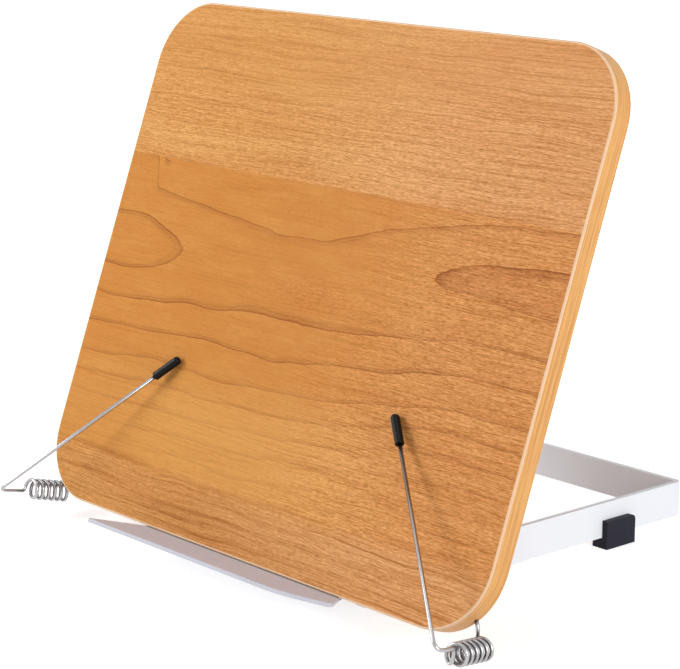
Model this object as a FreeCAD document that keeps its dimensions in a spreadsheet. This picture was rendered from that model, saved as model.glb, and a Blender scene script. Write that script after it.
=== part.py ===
import FreeCAD, Part
import math
import os
import Sketcher

# Folding wooden book stand: a leaning board with a sheet-metal page ledge and two
# sprung wire page holders, hinged to a low U-shaped frame of flat bar on rubber feet.
# Millimetres. X runs across the board, Y to the back, Z up. The origin is on the
# table, under the middle of the whole stand.

os.makedirs("parts", exist_ok=True)
Vector = FreeCAD.Vector
Placement = FreeCAD.Placement
Rotation = FreeCAD.Rotation
doc = FreeCAD.newDocument("book_stand")

drivingSizes = {
    # board
    "board_width": 340,
    "board_length": 281,
    "board_thickness": 11,
    "board_corner": 36,
    "board_angle": 69.71,
    "laminate": 0.8,
    "band": 1.1,
    "band_arris": 0.9,
    "edge_front": -112,
    "edge_height": 16.4,
    # page ledge, bent from one sheet
    "sheet": 2,
    "ledge_reach": 23,
    "ledge_droop": 8.7,
    "ledge_bend_back": 3.5,
    "ledge_left": 77.2,
    "ledge_right": 78.4,
    "ledge_splay": 38,
    "ledge_cut_from": 61,
    "ledge_cut_reach": 11.9,
    "ledge_cut_round": 60,
    "ledge_tip_round_left": 0.9,
    "ledge_tip_round_right": 2.2,
    "flange_gap": 3,
    "flange_height": 30,
    "flange_round": 6,
    # base frame of flat bar
    "bar_height": 19,
    "bar_thickness": 3,
    "frame_width": 153.6,
    "frame_back": 140,
    "frame_bend": 4,
    "bar_end_round": 8.5,
    # rubber feet clipped on the bar from below
    "foot_sole": 6,
    "foot_wall": 3.7,
    "foot_length": 22,
    "foot_lip": 9.5,
    "foot_front": -76,
    "foot_rear": 76,
    "foot_round": 2.4,
    # friction hinges
    "pivot_gap": 0.6,
    "bolt": 5,
    "bolt_clearance": 0.1,
    "bolt_head": 11,
    "bolt_head_height": 2.8,
    "bolt_head_round": 2.2,
    "friction_washer": 1,
    "friction_washer_width": 15,
    "cone_washer": 0.8,
    "cone_rise": 0.4,
    "cone_washer_width": 12,
    "nut_across": 8.8,
    "nut_height": 4,
    "nut_collar": 1.4,
    "nut_collar_width": 7.2,
    "bolt_tail": 1,
    "ear_width": 12,
    "bracket_width": 21.8,
    "bracket_height": 38,
    "bracket_bend": 2.5,
    "bracket_round": 3,
    # wood screws
    "screw": 3.5,
    "screw_length": 10,
    "screw_head": 7,
    "screw_head_height": 2.2,
    "screw_head_round": 1.3,
    "flange_screw_inset": 12,
    "flange_screw_up": 20,
    "bracket_screw_inset": 6,
    # page holders: one wire each, with a coil between its leg and its arm
    "wire": 2,
    "leg_clearance": 0.2,
    "leg_depth": 20,
    "leg_out": 1.2,
    "leg_corner_angle": 46.3,
    "leg_splay": 36.7,
    "leg_back": 8.8,
    "coil_inset": 3.7,
    "coil_up": 0.2,
    "coil_back_right": 12.5,
    "coil_back_left": 14.4,
    "coil_width": 12,
    "coil_length": 23.7,
    "coil_whole_turns": 6,
    "coil_start_right": 180,
    "coil_start_left": 65,
    "coil_end_right": 240,
    "coil_end_left": 0,
    "coil_out_right": 9.4,
    "coil_out_left": 5.6,
    "coil_droop_right": 11.9,
    "coil_droop_left": 6.4,
    "run_aside_right": 0.6,
    "run_aside_left": 4.6,
    "run_rise_right": 3.6,
    "run_rise_left": -2.3,
    "run_curl_right": 3.4,
    "run_curl_left": 1.8,
    "run_front": 26.8,
    "run_outset_right": 3.1,
    "run_outset_left": 1.8,
    "run_up_right": -3.9,
    "run_up_left": -6.9,
    "arm_bend": 4.5,
    "tip_inset_right": 84.4,
    "tip_inset_left": 89.4,
    "tip_up_right": 91.5,
    "tip_up_left": 89,
    "cap_width": 4.6,
    "cap_length": 17.6,
    "cap_over_wire": 1.6,
    "cap_gap": 0.12,
    "cap_tip_round": 2.1,
    "cap_mouth_round": 0.4,
    # how far a cutting shape runs past what it cuts
    "overrun": 40,
}

derivedSizes = {
    "leaf_width": "=board_width - 2 * band",
    "leaf_length": "=board_length - 2 * band",
    "leaf_corner": "=board_corner - band",
    "core_thickness": "=board_thickness - 2 * laminate",
    "frame_bottom": "=foot_sole",
    "pivot_depth": "=board_thickness + bar_height / 2 + pivot_gap",
    "pivot_drop": "=frame_bottom + bar_height / 2 - edge_height",
    "pivot_out": "=(pivot_depth + pivot_drop * cos(board_angle)) / sin(board_angle)",
    "pivot_up": "=pivot_out * cos(board_angle) + pivot_drop * sin(board_angle)",
    "pivot_front": "=edge_front + pivot_out",
    "pivot_height": "=frame_bottom + bar_height / 2",
    "bar_front": "=pivot_front - bar_height / 2",
    "bar_outer": "=frame_width / 2",
    "bar_inner": "=bar_outer - bar_thickness",
    "ear_outer": "=bar_inner - friction_washer",
    "ear_inner": "=ear_outer - sheet",
    "bracket_inner": "=ear_outer - bracket_width",
    "flange_width": "=2 * (bracket_inner - flange_gap)",
    "flange_screw_spacing": "=flange_width / 2 - flange_screw_inset",
    "blank_width": "=2 * (ledge_right + overrun)",
    "cone_height": "=cone_washer + cone_rise",
    "nut_outer": "=ear_inner - 2 * cone_height",
    "nut_inner": "=nut_outer - nut_height - nut_collar",
    "bolt_length": "=bar_outer - nut_inner + bolt_tail",
    "coil_x": "=board_width / 2 - coil_inset",
    "coil_radius": "=(coil_width - wire) / 2",
    "coil_turns_right": "=coil_whole_turns + (coil_end_right - coil_start_right) / 360",
    "coil_turns_left": "=coil_whole_turns + (coil_start_left - coil_end_left) / 360",
    "run_x_right": "=board_width / 2 + run_outset_right",
    "run_x_left": "=board_width / 2 + run_outset_left",
    "tip_x_right": "=board_width / 2 - tip_inset_right",
    "tip_x_left": "=board_width / 2 - tip_inset_left",
    "cap_height": "=cap_width / 2 + cap_gap",
}

sheet = doc.addObject("Spreadsheet::Sheet", "size")
for row, (alias, content) in enumerate({**drivingSizes, **derivedSizes}.items(), start=1):
    sheet.set(f"A{row}", alias)
    sheet.set(f"B{row}", str(content))
    sheet.setAlias(f"B{row}", alias)
doc.recompute()


def size(alias):
    return float(sheet.get(alias))


boardPlace = Placement(
    Vector(0, size("edge_front"), size("edge_height")),
    Rotation(Vector(1, 0, 0), size("board_angle")),
)


def onBoard(x, up, out, turn=Rotation()):
    # across the board, up along it and out of its front face
    return boardPlace.multiply(Placement(Vector(x, up, out), turn))


def newBody(label):
    body = doc.addObject("PartDesign::Body", label)
    body.Label = label
    return body


def newSketch(body, role, name):
    sketch = body.newObject("Sketcher::SketchObject", name)
    plane = next(f for f in body.Origin.OriginFeatures if f.Role == role)
    sketch.AttachmentSupport = [(plane, "")]
    sketch.MapMode = "FlatFace"
    return sketch


def pin(sketch, geometry, point, across, along):
    # ties one point of the geometry to the sketch's origin by two bound distances
    for kind, expression in (("DistanceX", across), ("DistanceY", along)):
        index = sketch.addConstraint(Sketcher.Constraint(kind, -1, 1, geometry, point, 1.0))
        sketch.setExpression(f"Constraints[{index}]", expression)


def drawOutline(sketch, corners):
    # closed outline of straight edges, each corner at its own bound place
    count = len(corners)
    ring = [
        Vector(math.cos(2 * math.pi * k / count), math.sin(2 * math.pi * k / count), 0)
        for k in range(count)
    ]
    first = sketch.GeometryCount
    for k in range(count):
        sketch.addGeometry(Part.LineSegment(ring[k], ring[(k + 1) % count]), False)
    for k in range(count):
        following = first + (k + 1) % count
        sketch.addConstraint(Sketcher.Constraint("Coincident", first + k, 2, following, 1))
    for k, (across, along) in enumerate(corners):
        pin(sketch, first + k, 1, across, along)


def drawCircle(sketch, across, along, radius):
    index = sketch.addGeometry(Part.Circle(Vector(0, 0, 0), Vector(0, 0, 1), 1), False)
    pin(sketch, index, 3, across, along)
    bound = sketch.addConstraint(Sketcher.Constraint("Radius", index, 1.0))
    sketch.setExpression(f"Constraints[{bound}]", radius)


def addPad(body, sketch, name, length, side="One side", reversed=False):
    pad = body.newObject("PartDesign::Pad", name)
    pad.Profile = sketch
    pad.SideType = side
    pad.Reversed = reversed
    pad.setExpression("Length", length)
    body.Tip = pad
    return pad


def addPocket(body, sketch, name, length, side="One side", reversed=False):
    pocket = body.newObject("PartDesign::Pocket", name)
    pocket.Profile = sketch
    pocket.SideType = side
    pocket.Reversed = reversed
    pocket.setExpression("Length", length)
    body.Tip = pocket
    return pocket


def addFillet(body, name, radius, chosen):
    # rounds the edges of the body's last feature that the test picks out
    doc.recompute()
    last = body.Tip
    edges = [f"Edge{k + 1}" for k, edge in enumerate(last.Shape.Edges) if chosen(edge)]
    if not edges:
        raise RuntimeError(f"{body.Label}: no edge to round for {name}")
    fillet = body.newObject("PartDesign::Fillet", name)
    fillet.Base = (last, edges)
    fillet.setExpression("Radius", radius)
    body.Tip = fillet
    return fillet


def near(first, second, tolerance=0.01):
    return abs(first - second) < tolerance


def alongAxis(edge, axis):
    # straight edge parallel to the axis "x", "y" or "z"
    if edge.Curve.TypeId != "Part::GeomLine":
        return False
    return near(abs(getattr(edge.Curve.Direction, axis)), 1)


def addCylinder(name, radius, height, place):
    cylinder = doc.addObject("Part::Cylinder", name)
    cylinder.setExpression("Radius", radius)
    cylinder.setExpression("Height", height)
    cylinder.Placement = place
    return cylinder


def joinAll(kind, name, shapes):
    joined = doc.addObject(kind, name)
    if kind == "Part::Compound":
        joined.Links = shapes
    else:
        joined.Shapes = shapes
    return joined


def cutWith(label, base, tools, place):
    cut = doc.addObject("Part::Cut", label)
    cut.Label = label
    cut.Base = base
    cut.Tool = tools[0] if len(tools) == 1 else joinAll("Part::MultiFuse", label + "_tools", tools)
    cut.Placement = place
    return cut


subParts = []
sides = {"right": 1, "left": -1}
down = Rotation(Vector(1, 0, 0), 180)


# Places on the board that several pieces share.

ledgeScrewPlaces = [
    (k * size("flange_screw_spacing"), size("flange_screw_up")) for k in (-1, 0, 1)
]
bracketMiddle = (size("bracket_inner") + size("ear_inner")) / 2
bracketBottom = size("pivot_up") - size("ear_width") / 2
screwRise = size("bracket_height") / 2 - size("bracket_screw_inset")
bracketScrewPlaces = [
    (side * bracketMiddle, bracketBottom + size("bracket_height") / 2 + k * screwRise)
    for side in sides.values()
    for k in (-1, 0, 1)
]
legAngle = math.radians(size("leg_corner_angle"))
legMouth = Vector(
    size("board_width") / 2 - size("board_corner") * (1 - math.sin(legAngle)),
    size("board_corner") * (1 - math.cos(legAngle)),
    -size("leg_back"),
)
splay = math.radians(size("leg_splay"))
legHeading = Vector(math.sin(splay), -math.cos(splay), 0)


def mirrored(point, side):
    return Vector(point.x * side, point.y, point.z)


def legBores(label):
    # slanted bores for the holders' legs, in the board's own frame
    bores = []
    for name, side in sides.items():
        heading = mirrored(legHeading, side)
        start = mirrored(legMouth, side) - heading * size("leg_depth")
        place = Placement(start, Rotation(Vector(0, 0, 1), heading))
        bores.append(addCylinder(
            f"{label}_bore_{name}",
            "(size.wire + size.leg_clearance) / 2",
            "size.leg_depth + size.overrun",
            place,
        ))
    return bores


def screwHoles(label, places, depth):
    # round holes that start at the back of the board and run forward
    return [
        addCylinder(
            f"{label}_hole_{k}",
            "size.screw / 2",
            depth,
            Placement(Vector(across, up, -size("board_thickness")), Rotation()),
        )
        for k, (across, up) in enumerate(places)
    ]


# Board: core, two laminates and the edge band glued round them.

def addLeaf(body, thickness):
    sketch = newSketch(body, "XY_Plane", "outline")
    drawOutline(sketch, [
        ("-size.leaf_width / 2", "size.band"),
        ("size.leaf_width / 2", "size.band"),
        ("size.leaf_width / 2", "size.band + size.leaf_length"),
        ("-size.leaf_width / 2", "size.band + size.leaf_length"),
    ])
    addPad(body, sketch, "leaf", thickness)
    addFillet(body, "corners", "size.leaf_corner", lambda edge: alongAxis(edge, "z"))


def onFaceRim(edge):
    # an edge round a slab's front or back face
    return near(edge.BoundBox.ZMin, edge.BoundBox.ZMax)


coreBlank = newBody("core_blank")
addLeaf(coreBlank, "size.core_thickness")
coreBlank.Placement = Placement(Vector(0, 0, size("laminate") - size("board_thickness")), Rotation())
allScrews = ledgeScrewPlaces + bracketScrewPlaces
screwBite = "size.screw_length - size.sheet"
core = cutWith(
    "board_core",
    coreBlank,
    legBores("core") + screwHoles("core", allScrews, screwBite),
    boardPlace,
)
subParts.append(core)

frontLaminate = newBody("front_laminate")
addLeaf(frontLaminate, "size.laminate")
frontLaminate.Placement = onBoard(0, 0, -size("laminate"))
subParts.append(frontLaminate)

backBlank = newBody("back_blank")
addLeaf(backBlank, "size.laminate")
backBlank.Placement = Placement(Vector(0, 0, -size("board_thickness")), Rotation())
backLaminate = cutWith("back_laminate", backBlank, screwHoles("back", allScrews, screwBite), boardPlace)
subParts.append(backLaminate)

bandBlank = newBody("band_blank")
bandSketch = newSketch(bandBlank, "XY_Plane", "outline")
drawOutline(bandSketch, [
    ("-size.board_width / 2", "0 mm"),
    ("size.board_width / 2", "0 mm"),
    ("size.board_width / 2", "size.board_length"),
    ("-size.board_width / 2", "size.board_length"),
])
addPad(bandBlank, bandSketch, "slab", "size.board_thickness")
addFillet(bandBlank, "corners", "size.board_corner", lambda edge: alongAxis(edge, "z"))
addFillet(bandBlank, "arris", "size.band_arris", onFaceRim)
bandBlank.Placement = Placement(Vector(0, 0, -size("board_thickness")), Rotation())
bandOpening = newBody("band_opening")
addLeaf(bandOpening, "size.board_thickness")
bandOpening.Placement = bandBlank.Placement
edgeBand = cutWith("edge_band", bandBlank, [bandOpening] + legBores("band"), boardPlace)
subParts.append(edgeBand)


# Page ledge: shelf, web under the board's edge and flange up its back, from one sheet.

ledgeBlank = newBody("ledge_blank")
foldSketch = newSketch(ledgeBlank, "YZ_Plane", "fold")
shelfRun = "(size.ledge_reach + size.ledge_bend_back)"
drawOutline(foldSketch, [
    ("size.flange_height", "-size.board_thickness"),
    ("0 mm", "-size.board_thickness"),
    ("0 mm", "-size.ledge_bend_back"),
    (f"-{shelfRun} * tan(size.ledge_droop)", "size.ledge_reach"),
    (f"-{shelfRun} * tan(size.ledge_droop) - size.sheet", "size.ledge_reach"),
    ("-size.sheet", "-size.ledge_bend_back"),
    ("-size.sheet", "-size.board_thickness - size.sheet"),
    ("size.flange_height", "-size.board_thickness - size.sheet"),
])
addPad(ledgeBlank, foldSketch, "folded_sheet", "size.blank_width", side="Symmetric")
addFillet(
    ledgeBlank, "back_bend", "size.sheet",
    lambda edge: alongAxis(edge, "x")
    and near(edge.Vertexes[0].Y, -size("sheet"))
    and near(edge.Vertexes[0].Z, -size("board_thickness") - size("sheet")),
)
trimSketch = newSketch(ledgeBlank, "XZ_Plane", "trim")
slope = "tan(size.ledge_splay)"
trimEdge = [
    ("-size.flange_width / 2", "-size.board_thickness - size.overrun / 2"),
    ("-size.flange_width / 2", "-size.board_thickness"),
    (f"-size.ledge_left + size.board_thickness * {slope}", "-size.board_thickness"),
    (f"-size.ledge_left - size.ledge_reach * {slope}", "size.ledge_reach"),
    ("size.ledge_cut_from", "size.ledge_reach"),
    (f"size.ledge_right + size.ledge_cut_reach * {slope}", "size.ledge_cut_reach"),
    (f"size.ledge_right - size.board_thickness * {slope}", "-size.board_thickness"),
    ("size.flange_width / 2", "-size.board_thickness"),
    ("size.flange_width / 2", "-size.board_thickness - size.overrun / 2"),
]
drawOutline(trimSketch, trimEdge)
drawOutline(trimSketch, [
    ("-size.blank_width", "-size.board_thickness - size.overrun"),
    ("size.blank_width", "-size.board_thickness - size.overrun"),
    ("size.blank_width", "size.ledge_reach + size.overrun"),
    ("-size.blank_width", "size.ledge_reach + size.overrun"),
])
addPocket(ledgeBlank, trimSketch, "trim_cut", "size.blank_width", side="Symmetric")


def throughShelf(edge):
    # short edge through the shelf's thickness, at one of its corners
    box = edge.BoundBox
    return near(box.XLength, 0) and near(edge.Length, size("sheet"), 0.1) and box.ZMin > 0


def atCutCorner(edge):
    # where the shelf's front edge turns into the slanting cut
    return throughShelf(edge) and near(edge.Vertexes[0].X, size("ledge_cut_from"))


addFillet(ledgeBlank, "cut_corner", "size.ledge_cut_round", atCutCorner)
addFillet(
    ledgeBlank, "left_tip", "size.ledge_tip_round_left",
    lambda edge: throughShelf(edge) and edge.Vertexes[0].X < 0,
)
addFillet(
    ledgeBlank, "right_tip", "size.ledge_tip_round_right",
    lambda edge: throughShelf(edge) and edge.Vertexes[0].X > size("ledge_right"),
)
addFillet(
    ledgeBlank, "flange_corners", "size.flange_round",
    lambda edge: alongAxis(edge, "z")
    and near(edge.Vertexes[0].Y, size("flange_height"))
    and near(abs(edge.Vertexes[0].X), size("flange_width") / 2),
)
flangeHoles = [
    addCylinder(
        f"flange_hole_{k}",
        "size.screw / 2",
        "4 * size.sheet",
        Placement(Vector(across, up, -size("board_thickness") - 3 * size("sheet")), Rotation()),
    )
    for k, (across, up) in enumerate(ledgeScrewPlaces)
]
ledge = cutWith("page_ledge", ledgeBlank, flangeHoles, boardPlace)
subParts.append(ledge)


# Hinge brackets on the back of the board, with an ear inside each bar of the frame.

for name, side in sides.items():
    blank = newBody(f"bracket_blank_{name}")
    sign = "" if side > 0 else "-"
    mirrorSign = "-" if side > 0 else ""
    plateSketch = newSketch(blank, "XY_Plane", "plate")
    bottom = "size.pivot_up - size.ear_width / 2"
    drawOutline(plateSketch, [
        (f"{sign}size.bracket_inner", bottom),
        (f"{sign}size.ear_outer", bottom),
        (f"{sign}size.ear_outer", f"{bottom} + size.bracket_height"),
        (f"{sign}size.bracket_inner", f"{bottom} + size.bracket_height"),
    ])
    addPad(blank, plateSketch, "plate_pad", "size.sheet")
    earSketch = newSketch(blank, "YZ_Plane", "ear")
    earSketch.setExpression("AttachmentOffset.Base.z", f"{sign}size.ear_inner")
    drawOutline(earSketch, [
        (bottom, "size.sheet"),
        (bottom, "-(size.pivot_depth - size.board_thickness - size.sheet)"),
        (
            f"{bottom} + size.ear_width",
            "-(size.pivot_depth - size.board_thickness - size.sheet)",
        ),
        (f"{bottom} + size.ear_width", "size.sheet"),
    ])
    addPad(blank, earSketch, "ear_pad", "size.sheet", reversed=side < 0)
    tipSketch = newSketch(blank, "YZ_Plane", "ear_tip")
    tipSketch.setExpression("AttachmentOffset.Base.z", f"{sign}size.ear_inner")
    drawCircle(
        tipSketch, "size.pivot_up",
        "-(size.pivot_depth - size.board_thickness - size.sheet)", "size.ear_width / 2",
    )
    addPad(blank, tipSketch, "ear_tip_pad", "size.sheet", reversed=side < 0)
    addFillet(
        blank, "bend", "size.bracket_bend",
        lambda edge: alongAxis(edge, "y")
        and near(abs(edge.Vertexes[0].X), size("ear_outer"))
        and near(edge.Vertexes[0].Z, size("sheet")),
    )
    addFillet(
        blank, "plate_corners", "size.bracket_round",
        lambda edge: alongAxis(edge, "z")
        and near(abs(edge.Vertexes[0].X), size("bracket_inner")),
    )
    lift = -size("board_thickness") - size("sheet")
    blank.Placement = Placement(Vector(0, 0, lift), Rotation())
    holes = [
        addCylinder(
            f"bracket_hole_{name}_{k}",
            "size.screw / 2",
            "3 * size.sheet",
            Placement(Vector(across, up, lift - size("sheet")), Rotation()),
        )
        for k, (across, up) in enumerate(bracketScrewPlaces)
        if across * side > 0
    ]
    pivotHole = addCylinder(
        f"bracket_pivot_{name}",
        "(size.bolt + size.bolt_clearance) / 2",
        "3 * size.sheet",
        Placement(
            Vector(side * (size("ear_inner") - size("sheet")), size("pivot_up"), -size("pivot_depth")),
            Rotation(Vector(0, 0, 1), Vector(side, 0, 0)),
        ),
    )
    bracket = cutWith(f"hinge_bracket_{name}", blank, holes + [pivotHole], boardPlace)
    subParts.append(bracket)


# Pan-head wood screws that hold the ledge and the brackets, three to each.

def panScrew(name, across, up):
    outerFace = -size("board_thickness") - size("sheet")
    shank = addCylinder(
        f"{name}_shank", "size.screw / 2", "size.screw_length",
        Placement(Vector(across, up, outerFace), Rotation()),
    )
    head = addCylinder(
        f"{name}_head", "size.screw_head / 2", "size.screw_head_height",
        Placement(Vector(across, up, outerFace), down),
    )
    doc.recompute()
    rounded = doc.addObject("Part::Fillet", f"{name}_rounded")
    rounded.Base = head
    rounded.Edges = [
        (k + 1, size("screw_head_round"), size("screw_head_round"))
        for k, edge in enumerate(head.Shape.Edges)
        if near(edge.BoundBox.ZMin, outerFace - size("screw_head_height"))
        and near(edge.BoundBox.ZMax, edge.BoundBox.ZMin)
    ]
    return joinAll("Part::MultiFuse", name, [shank, rounded])


for label, places in (("ledge_screws", ledgeScrewPlaces), ("bracket_screws", bracketScrewPlaces)):
    screws = [panScrew(f"{label}_{k}", across, up) for k, (across, up) in enumerate(places)]
    group = joinAll("Part::Compound", label, screws)
    group.Label = label
    group.Placement = boardPlace
    subParts.append(group)


# Base frame: flat bar on edge, bent to a U that is open at the front.

frame = newBody("base_frame")
frameSketch = newSketch(frame, "XY_Plane", "run_of_bar")
drawOutline(frameSketch, [
    ("-size.bar_outer", "size.bar_front"),
    ("-size.bar_inner", "size.bar_front"),
    ("-size.bar_inner", "size.frame_back - size.bar_thickness"),
    ("size.bar_inner", "size.frame_back - size.bar_thickness"),
    ("size.bar_inner", "size.bar_front"),
    ("size.bar_outer", "size.bar_front"),
    ("size.bar_outer", "size.frame_back"),
    ("-size.bar_outer", "size.frame_back"),
])
addPad(frame, frameSketch, "bar", "size.bar_height")
addFillet(
    frame, "outer_bends", "size.frame_bend",
    lambda edge: alongAxis(edge, "z") and near(edge.Vertexes[0].Y, size("frame_back")),
)
addFillet(
    frame, "inner_bends", "size.frame_bend - size.bar_thickness",
    lambda edge: alongAxis(edge, "z")
    and near(edge.Vertexes[0].Y, size("frame_back") - size("bar_thickness")),
)
addFillet(
    frame, "bar_ends", "size.bar_end_round",
    lambda edge: alongAxis(edge, "x") and near(edge.Vertexes[0].Y, size("bar_front")),
)
boltSketch = newSketch(frame, "YZ_Plane", "bolt_holes")
drawCircle(
    boltSketch, "size.pivot_front", "size.bar_height / 2",
    "(size.bolt + size.bolt_clearance) / 2",
)
addPocket(frame, boltSketch, "bolt_cut", "2 * size.frame_width", side="Symmetric")
frame.Placement = Placement(Vector(0, 0, size("frame_bottom")), Rotation())
subParts.append(frame)


# Rubber feet: channels pushed up over the lower edge of the bar.

def rubberFoot(label, side, front):
    foot = newBody(label)
    sketch = newSketch(foot, "XZ_Plane", "channel")
    drawOutline(sketch, [
        ("-size.foot_wall", "0 mm"),
        ("size.bar_thickness + size.foot_wall", "0 mm"),
        ("size.bar_thickness + size.foot_wall", "size.foot_sole + size.foot_lip"),
        ("size.bar_thickness", "size.foot_sole + size.foot_lip"),
        ("size.bar_thickness", "size.foot_sole"),
        ("0 mm", "size.foot_sole"),
        ("0 mm", "size.foot_sole + size.foot_lip"),
        ("-size.foot_wall", "size.foot_sole + size.foot_lip"),
    ])
    addPad(foot, sketch, "channel_pad", "size.foot_length", reversed=True)
    top = size("foot_sole") + size("foot_lip")
    addFillet(
        foot, "lip_corners", "size.foot_round",
        lambda edge: alongAxis(edge, "x")
        and near(edge.Vertexes[0].Z, top)
        and near(edge.Vertexes[0].Y, size("foot_length")),
    )
    corner = size("bar_inner") if side > 0 else -size("bar_outer")
    foot.Placement = Placement(Vector(corner, size(front), 0), Rotation())
    return foot


for name, side in sides.items():
    subParts.append(rubberFoot(f"foot_front_{name}", side, "foot_front"))
    subParts.append(rubberFoot(f"foot_rear_{name}", side, "foot_rear"))


# Friction hinge hardware on each side, stacked inward from the outside of the bar.

def acrossPivot(side, distance):
    # axis along X through the pivot, starting at this distance from the middle, going inward
    start = Vector(side * distance, size("pivot_front"), size("pivot_height"))
    return Placement(start, Rotation(Vector(0, 0, 1), Vector(-side, 0, 0)))


def coneWasher(name, side, distance, flipped):
    washer = newBody(name)
    sketch = newSketch(washer, "XZ_Plane", "section")
    inner = "(size.bolt + size.bolt_clearance) / 2"
    outer = "size.cone_washer_width / 2"
    if flipped:
        drawOutline(sketch, [
            (inner, "size.cone_rise"),
            (outer, "0 mm"),
            (outer, "size.cone_washer"),
            (inner, "size.cone_rise + size.cone_washer"),
        ])
    else:
        drawOutline(sketch, [
            (inner, "0 mm"),
            (outer, "size.cone_rise"),
            (outer, "size.cone_rise + size.cone_washer"),
            (inner, "size.cone_washer"),
        ])
    turned = washer.newObject("PartDesign::Revolution", "turned")
    turned.Profile = sketch
    turned.ReferenceAxis = (sketch, ["V_Axis"])
    turned.Angle = 360
    washer.Tip = turned
    washer.Placement = acrossPivot(side, distance)
    return washer


for name, side in sides.items():
    shank = addCylinder(
        f"bolt_shank_{name}", "size.bolt / 2", "size.bolt_length", acrossPivot(side, size("bar_outer")),
    )
    headPlace = acrossPivot(side, size("bar_outer") + size("bolt_head_height"))
    head = addCylinder(f"bolt_head_{name}", "size.bolt_head / 2", "size.bolt_head_height", headPlace)
    doc.recompute()
    dome = doc.addObject("Part::Fillet", f"bolt_dome_{name}")
    dome.Base = head
    dome.Edges = [
        (k + 1, size("bolt_head_round"), size("bolt_head_round"))
        for k, edge in enumerate(head.Shape.Edges)
        if near(edge.BoundBox.XLength, 0) and near(abs(edge.BoundBox.XMin), abs(headPlace.Base.x))
    ]
    bolt = joinAll("Part::MultiFuse", f"hinge_bolt_{name}", [shank, dome])
    bolt.Label = f"hinge_bolt_{name}"
    subParts.append(bolt)

    disc = addCylinder(
        f"washer_disc_{name}", "size.friction_washer_width / 2", "size.friction_washer",
        acrossPivot(side, size("bar_inner")),
    )
    discHole = addCylinder(
        f"washer_hole_{name}", "(size.bolt + size.bolt_clearance) / 2", "size.friction_washer",
        acrossPivot(side, size("bar_inner")),
    )
    subParts.append(cutWith(f"friction_washer_{name}", disc, [discHole], Placement()))

    firstWasher = coneWasher(f"cone_washer_outer_{name}", side, size("ear_inner"), True)
    secondWasher = coneWasher(
        f"cone_washer_inner_{name}", side, size("ear_inner") - size("cone_height"), False,
    )
    washers = joinAll("Part::Compound", f"spring_washers_{name}", [firstWasher, secondWasher])
    washers.Label = f"spring_washers_{name}"
    subParts.append(washers)

    hexagon = doc.addObject("Part::Prism", f"nut_hexagon_{name}")
    hexagon.Polygon = 6
    hexagon.setExpression("Circumradius", "size.nut_across / 2")
    hexagon.setExpression("Height", "size.nut_height")
    hexagon.Placement = acrossPivot(side, size("nut_outer"))
    collar = addCylinder(
        f"nut_collar_{name}", "size.nut_collar_width / 2", "size.nut_height + size.nut_collar",
        acrossPivot(side, size("nut_outer")),
    )
    nutBlank = joinAll("Part::MultiFuse", f"nut_blank_{name}", [hexagon, collar])
    nutBore = addCylinder(
        f"nut_bore_{name}", "size.bolt / 2", "size.nut_height + size.nut_collar",
        acrossPivot(side, size("nut_outer")),
    )
    subParts.append(cutWith(f"lock_nut_{name}", nutBlank, [nutBore], Placement()))


# Page holders: each is one wire, a leg in the board, a coil and an arm with a soft cap.
# A wire's path is straight runs and arcs, kept as (start, middle, end) or (start, end).

def arcFrom(start, heading, end):
    chord = end - start
    along = Vector(chord).normalize()
    aside = heading - along * heading.dot(along)
    if aside.Length < 1e-6:
        return (start, end)
    halfTurn = math.atan2(aside.Length, heading.dot(along))
    bulge = chord.Length / 2 * math.tan(halfTurn / 2)
    return (start, start + chord * 0.5 + aside.normalize() * bulge, end)


def biarc(start, heading, end, leaving):
    # two arcs, tangent to each other, that leave start along heading and reach end along leaving
    span = end - start
    both = heading + leaving
    spread = 2 * (1 - heading.dot(leaving))
    if spread < 1e-6:
        reach = span.dot(span) / (4 * span.dot(leaving))
    else:
        reach = (math.sqrt(span.dot(both) ** 2 + spread * span.dot(span)) - span.dot(both)) / spread
    joint = (start + end + (heading - leaving) * reach) * 0.5
    middleHeading = (joint - (start + heading * reach)).normalize()
    return [arcFrom(start, heading, joint), arcFrom(joint, middleHeading, end)]


def roundedCorner(before, corner, after, radius):
    # straight run, tangent arc of this radius, and the point where the next run starts
    incoming = (corner - before).normalize()
    outgoing = (after - corner).normalize()
    turn = incoming.getAngle(outgoing)
    setBack = radius * math.tan(turn / 2)
    start = corner - incoming * setBack
    end = corner + outgoing * setBack
    return [(before, start), arcFrom(start, incoming, end)], end


def pathEdges(pieces):
    edges = []
    for piece in pieces:
        if len(piece) == 2:
            edges.append(Part.LineSegment(*piece).toShape())
        else:
            edges.append(Part.Arc(*piece).toShape())
    return edges


def tightest(edges):
    return min(edge.Curve.Radius for edge in edges if hasattr(edge.Curve, "Radius"))


def drawnWire(label, pieces):
    edges = pathEdges(pieces)
    start = edges[0].valueAt(edges[0].FirstParameter)
    heading = edges[0].tangentAt(edges[0].FirstParameter)
    section = Part.Wire(Part.Circle(start, heading, size("wire") / 2).toShape())
    pipe = Part.Wire(edges).makePipeShell([section], True, False)
    length = sum(edge.Length for edge in edges)
    expected = math.pi * (size("wire") / 2) ** 2 * length
    print(f"{label}: {length:.1f} mm of wire, tightest bend {tightest(edges):.2f} mm,",
          f"volume {pipe.Volume:.1f} of {expected:.1f} mm3")
    drawn = doc.addObject("Part::Feature", label)
    drawn.Label = label
    drawn.Shape = pipe
    drawn.Placement = boardPlace
    return drawn


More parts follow.
